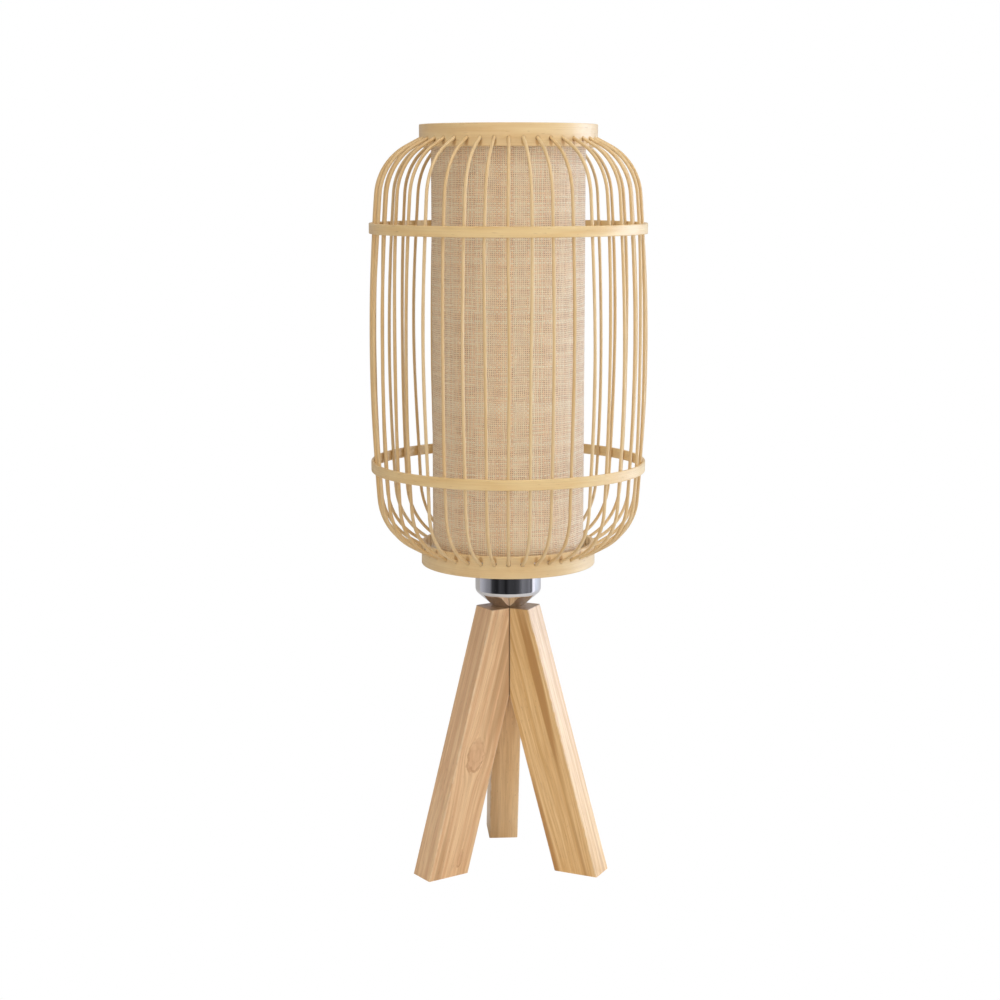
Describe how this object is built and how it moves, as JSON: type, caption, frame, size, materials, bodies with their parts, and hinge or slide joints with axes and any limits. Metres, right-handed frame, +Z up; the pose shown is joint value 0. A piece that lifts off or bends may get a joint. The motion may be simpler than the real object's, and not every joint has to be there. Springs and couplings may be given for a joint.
{
  "type": "table lamp",
  "caption": "Tripod table lamp: round-shouldered bamboo rib cage around a linen cylinder shade, on a chrome cup and three splayed wooden legs.",
  "frame": {"origin": "on the surface the lamp stands on, under the lamp's upright axis, which is the middle of its bounding box", "axes": "+Z up along the lamp's axis; +Y to the back, where the cord inlet is; the back leg stands 4.3 degrees past +Y"},
  "size_m": [0.2004, 0.2004, 0.5455],
  "materials": {
    "leg_wood": "satin oiled rubberwood with open pores",
    "dowel_wood": "beech dowel",
    "rim_bamboo": "satin split bamboo band",
    "hoop_bamboo": "satin split bamboo band",
    "rib_bamboo": "satin round bamboo strip",
    "linen": "open plain weave linen",
    "liner_film": "translucent lampshade film",
    "chrome": "polished",
    "zinc_steel": "zinc plated",
    "fitter_steel": "white powder coat",
    "grommet_rubber": "matt black",
    "holder_plastic": "black heat-proof moulding",
    "ring_plastic": "black heat-proof moulding",
    "brass": "pressed brass",
    "cap_metal": "rolled thread",
    "black_glass": "black glass insulator",
    "solder": "soldered contact",
    "bulb_glass": "clear blown glass",
    "wire_nickel": "drawn wire",
    "filament_phosphor": "phosphor coated"
  },
  "bodies": {
    "base": {"leg_back": "leg_wood", "leg_left": "leg_wood", "leg_right": "leg_wood", "mitre_dowels": "dowel_wood", "mount_tube": "zinc_steel", "tube_washer": "zinc_steel", "tube_nut": "zinc_steel", "cup_nut": "zinc_steel", "chrome_cup": "chrome", "cord_grommet": "grommet_rubber", "holder_base": "holder_plastic", "holder_skirt": "holder_plastic", "screw_shell": "brass", "centre_contact": "brass", "side_contact": "brass", "terminal_screws": "zinc_steel"},
    "shade": {"fitter_plate": "fitter_steel", "fitter_arms": "fitter_steel", "bottom_rim": "rim_bamboo", "top_rim": "rim_bamboo", "lower_hoop": "hoop_bamboo", "upper_hoop": "hoop_bamboo", "shade_fabric": "linen", "shade_liner": "liner_film", "shade_bottom_ring": "fitter_steel", "shade_top_ring": "fitter_steel", "rib_pair_01": "rib_bamboo", "rib_pair_02": "rib_bamboo", "rib_pair_03": "rib_bamboo", "rib_pair_04": "rib_bamboo", "rib_pair_05": "rib_bamboo", "rib_pair_06": "rib_bamboo", "rib_pair_07": "rib_bamboo", "rib_pair_08": "rib_bamboo", "rib_pair_09": "rib_bamboo", "rib_pair_10": "rib_bamboo", "rib_pair_11": "rib_bamboo", "rib_pair_12": "rib_bamboo", "rib_pair_13": "rib_bamboo", "rib_pair_14": "rib_bamboo", "rib_pair_15": "rib_bamboo", "rib_pair_16": "rib_bamboo", "rib_pair_17": "rib_bamboo", "rib_pair_18": "rib_bamboo", "rib_pair_19": "rib_bamboo", "rib_pair_20": "rib_bamboo"},
    "lock_ring": {"lock_ring": "ring_plastic"},
    "bulb_carrier": {"bulb_tip": "solder"},
    "bulb": {"bulb_glass": "bulb_glass", "bulb_cap": "cap_metal", "bulb_insulator": "black_glass", "bulb_stem": "bulb_glass", "filament_wires": "wire_nickel", "filaments": "filament_phosphor"}
  },
  "joints": [
    {"name": "shade_turn", "type": "hinge", "parent": "base", "child": "shade", "pos_m": [0, 0, 0.2383], "axis": [0, 0, 1], "continuous": true},
    {"name": "lock_ring_turn", "type": "hinge", "parent": "base", "child": "lock_ring", "pos_m": [0, 0, 0.2437], "axis": [0, 0, 1], "range_deg": [0, 720]},
    {"name": "bulb_lift", "type": "slide", "parent": "base", "child": "bulb_carrier", "axis": [0, 0, 1], "range_m": [0, 0.0182]},
    {"name": "bulb_turn", "type": "hinge", "parent": "bulb_carrier", "child": "bulb", "pos_m": [0, 0, 0.2311], "axis": [0, 0, 1], "range_deg": [0, 1800]}
  ],
  "couplings": [
    {"joint": "bulb_lift", "follows": "bulb_turn", "m_per_rad": 0.00057757}
  ]
}
